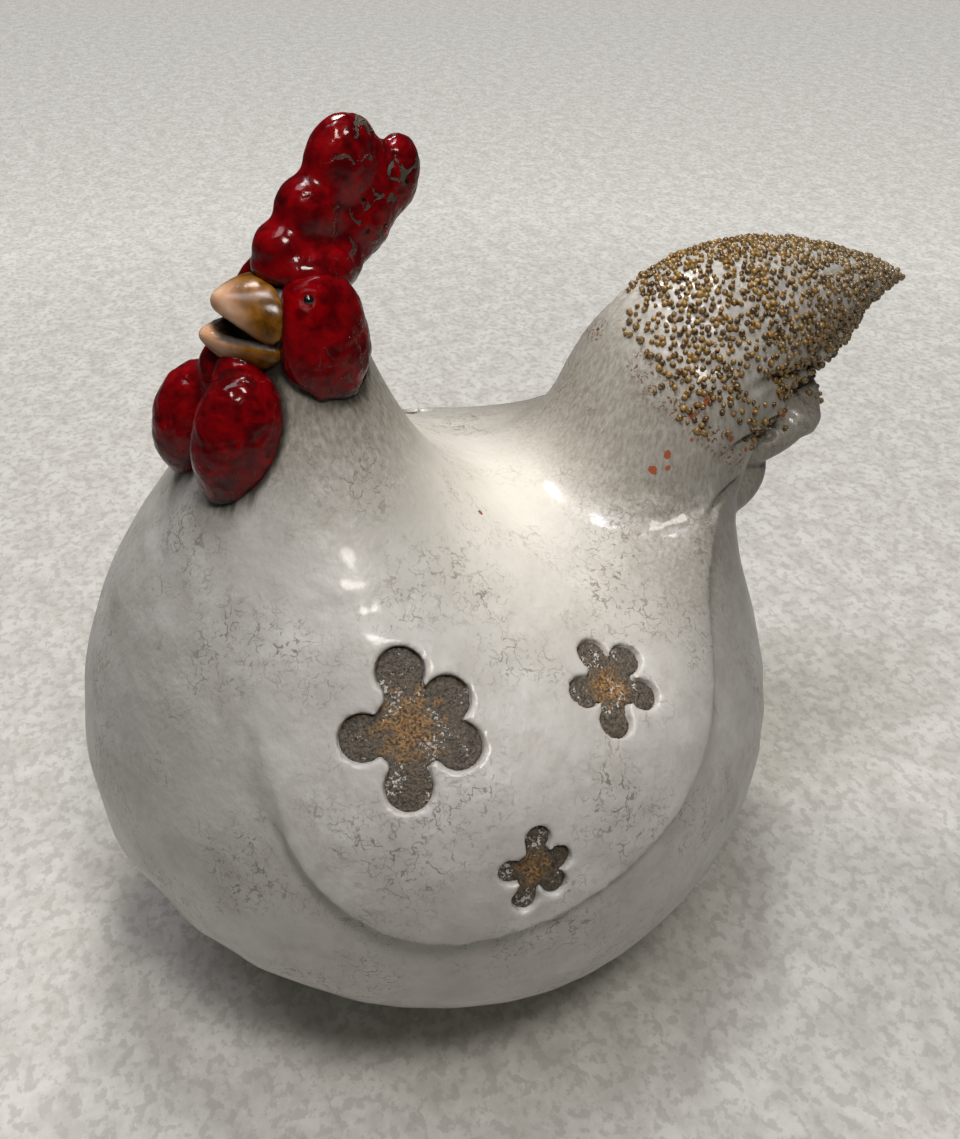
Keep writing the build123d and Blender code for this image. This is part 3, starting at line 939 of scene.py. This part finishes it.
def flowerGrit():
    # crushed grey stone fused in the kiln: dull, pitted, with white crystals and rusty hearts
    material, tree, surface = newMaterial("kiln_fused_grey_grit")
    place = addNode(tree, "TexCoord", out="Object")
    coarse = addNode(tree, "TexNoise", {
        "Vector": place, "Scale": perMetre(1), "Detail": 5, "Roughness": 0.75,
    })
    coarseShare = addNode(tree, "MapRange", {"Value": coarse, "From Min": 0.35, "From Max": 0.65})
    tone = addNode(tree, "Mix", {
        "Factor": coarseShare, under: hexColour("#262019"), over: hexColour("#716656"),
    }, **blend)
    rust = addNode(tree, "TexNoise", {"Vector": place, "Scale": perMetre(0.67), "Detail": 3})
    rustShare = addNode(tree, "MapRange", {"Value": rust, "From Min": 0.4, "From Max": 0.6})
    rustTone = addNode(tree, "Mix", {
        "Factor": rustShare, under: hexColour("#4A2F12"), over: hexColour("#A98048"),
    }, **blend)
    heart = addNode(tree, "Attribute", out="Fac", attribute_name="heart")
    tone = addNode(tree, "Mix", {"Factor": heart, under: tone, over: rustTone}, **blend)
    crystals = addNode(tree, "TexNoise", {
        "Vector": place, "Scale": perMetre(0.77), "Detail": 2, "Distortion": 0.8,
    })
    drifts = addNode(tree, "TexNoise", {"Vector": place, "Scale": perMetre(6.2), "Detail": 2})
    crystalSum = addNode(tree, "Math", {0: crystals, 1: drifts}, operation="ADD")
    crystalShare = addNode(tree, "MapRange", {
        "Value": crystalSum, "From Min": 1.17, "From Max": 1.25, "To Max": 0.8,
    })
    tone = addNode(tree, "Mix", {"Factor": crystalShare, under: tone, over: hexColour("#D8D5CC")}, **blend)
    tree.links.new(tone, surface["Base Color"])
    glossing = {"From Min": 0.3, "From Max": 0.7, "To Min": 0.35, "To Max": 0.75}
    gloss = addNode(tree, "MapRange", {"Value": coarse, **glossing})
    tree.links.new(gloss, surface["Roughness"])
    bump = addNode(tree, "Bump", {"Height": rust, "Distance": 0.5 * mm})
    tree.links.new(bump, surface["Normal"])
    return material


def makeFlower(name, material):
    piece = copyNodes(name + "_grit", [name])
    remesh(piece, flower["voxel"])
    soften(piece, flower["softening"])
    roughen(piece, name + "_grain", flower["grainSize"], flower["grainHeight"], 0.5)
    middle, reach = middleOf(name)

    def heartAt(point, normal):
        away = (point - middle).length / reach + 0.25 * noise.noise(point * 0.5)
        return flower["heartShare"] * (1 - ease(away, *flower["heart"]))

    paint(piece, "heart", heartAt)
    finishPiece(piece, material, "flower_grit", name)


gritMaterial = flowerGrit()
for flowerName in flowerNames:
    makeFlower(flowerName, gritMaterial)


# Eyes.

def eyeGlaze():
    # black glaze dropped on with a brush: wet-looking
    material, tree, surface = newMaterial("dropped_black_glaze")
    place = addNode(tree, "TexCoord", out="Object")
    cloud = addNode(tree, "TexNoise", {"Vector": place, "Scale": perMetre(1.11), "Detail": 2})
    tone = addNode(tree, "Mix", {
        "Factor": cloud, under: hexColour("#040404"), over: hexColour("#1A1514"),
    }, **blend)
    tree.links.new(tone, surface["Base Color"])
    bump = addNode(tree, "Bump", {"Height": cloud, "Distance": 0.05 * mm})
    tree.links.new(bump, surface["Normal"])
    surface["Roughness"].default_value = 0.06
    surface["Coat Weight"].default_value = 1.0
    surface["Coat Roughness"].default_value = 0.02
    return material


eyeMaterial = eyeGlaze()
for eyeName in ("eye_left", "eye_right"):
    nodes[eyeName].data.materials.clear()
    nodes[eyeName].data.materials.append(eyeMaterial)


# Grit grains on the tail.

grains = {
    "most": 4200,
    "small": 0.7,               # the grains' radius, from small to large
    "large": 1.2,
    "apart": 1.4,
    "stretch": ((0.75, 1.2), (0.65, 1.0)),
    "stand": (0.1, 0.5),        # how far each grain's middle stands off the skin, as a share of its radius
    "seed": 12,
    "tailFrom": (55, 148),      # no grain further forward or lower than this
    "edge": 198,                # the height at which the grit starts on the right of the ridge
    "edgeDrop": 7,              # how much lower it starts on the left
    "edgeSlope": 0.75,
    "rearFrom": 82,
    "fold": (92, 184),          # a place on the upper fold, seen from the side, and how steeply it falls
    "foldSlope": 0.45,
    "tipMargin": 1.2,           # how far the grains stay inside the tail's rear end
}


def grainGlaze():
    # clay grit under a thin ochre glaze: a dull shine, each grain its own brown
    material, tree, surface = newMaterial("clay_grit_ochre_glaze")
    place = addNode(tree, "TexCoord", out="Object")
    each = addNode(tree, "TexNoise", {"Vector": place, "Scale": perMetre(2.4), "Detail": 0})
    eachShare = addNode(tree, "MapRange", {"Value": each, "From Min": 0.35, "From Max": 0.65})
    tone = addNode(tree, "Mix", {
        "Factor": eachShare, under: hexColour("#4A300B"), over: hexColour("#94702F"),
    }, **blend)
    # towards the tip the glaze ran thin and left the grains grey
    along = addNode(tree, "SeparateXYZ", {"Vector": place}, out="Y")
    tipShare = addNode(tree, "MapRange", {
        "Value": along, "From Min": 0.095, "From Max": 0.145, "To Max": 0.6,
    })
    tone = addNode(tree, "Mix", {"Factor": tipShare, under: tone, over: hexColour("#7D705A")}, **blend)
    chalk = addNode(tree, "TexNoise", {"Vector": place, "Scale": perMetre(1.11), "Detail": 2})
    chalkShare = addNode(tree, "MapRange", {"Value": chalk, "From Min": 0.5, "From Max": 0.7, "To Max": 0.5})
    tone = addNode(tree, "Mix", {"Factor": chalkShare, under: tone, over: hexColour("#B9A47C")}, **blend)
    tree.links.new(tone, surface["Base Color"])
    surface["Roughness"].default_value = 0.30
    surface["Coat Weight"].default_value = 0.4
    surface["Coat Roughness"].default_value = 0.12
    bump = addNode(tree, "Bump", {"Height": chalk, "Distance": 0.12 * mm})
    tree.links.new(bump, surface["Normal"])
    return material


neighbours = [(a, b, c) for a in (-1, 0, 1) for b in (-1, 0, 1) for c in (-1, 0, 1)]


def grainShare(point):
    # thick over the tail's top and tip down to the upper fold, thin on the rolls under it
    x, y, z = point
    drop = grains["edgeDrop"] * ease(x, -6, 1)
    above = z - (grains["edge"] - drop - grains["edgeSlope"] * max(x - 10, 0))
    share = 0.25 * ease(above, -3, 1) + 0.75 * ease(above, -1, 11)
    if y > grains["rearFrom"]:
        foldPlace, foldHeight = grains["fold"]
        overFold = z - (foldHeight - grains["foldSlope"] * (y - foldPlace))
        share = 0.10 * ease(z, 158, 172) + 0.28 * ease(overFold, -2, 4) + 0.28 * ease(overFold, 0, 16)
    clumps = 0.62 + 0.55 * noise.noise(point / 9) + 0.75 * noise.noise(point / 3.2)
    return share * clumps


def grainSpots():
    random.seed(grains["seed"])
    rearFrom, upFrom = (reach * mm for reach in grains["tailFrom"])
    faces = [face for face in henSkin.data.polygons if face.center.y > rearFrom and face.center.z > upFrom]
    random.shuffle(faces)
    limit = cadBox[1][1] / mm - grains["tipMargin"]
    cells = {}
    spots = []
    for face in faces:
        point = face.center / mm
        if point.y > limit or random.random() > grainShare(point):
            continue
        cell = tuple(int(value // grains["apart"]) for value in point)
        around = [cells.get(tuple(cell[axis] + step[axis] for axis in range(3)), ()) for step in neighbours]
        if any((point - other).length < grains["apart"] for others in around for other in others):
            continue
        cells.setdefault(cell, []).append(point)
        spots.append((face.center.copy(), face.normal.copy()))
    return spots[:grains["most"]]


def makeGrains():
    bpy.ops.object.select_all(action="DESELECT")
    bpy.ops.mesh.primitive_uv_sphere_add(segments=6, ring_count=4, radius=1.0)
    grain = bpy.context.active_object
    copies = []
    for spot, normal in grainSpots():
        size = random.uniform(grains["small"], grains["large"]) * mm
        turn = Euler([random.uniform(0, 6.28) for _ in range(3)]).to_matrix().to_4x4()
        along, across = (size * random.uniform(*span) for span in grains["stretch"])
        stretch = Matrix.Diagonal((size, along, across, 1))
        seat = Matrix.Translation(spot + normal * size * random.uniform(*grains["stand"]))
        copy = bpy.data.objects.new("tail_grains", grain.data.copy())
        copy.data.transform(seat @ turn @ stretch)
        bpy.context.collection.objects.link(copy)
        copies.append(copy)
    bpy.data.objects.remove(grain)
    pick(*copies)
    bpy.ops.object.join()
    copies[0].name = "tail_grains"
    finishPiece(copies[0], grainGlaze(), "flower_grit")


makeGrains()
print("pieces made")
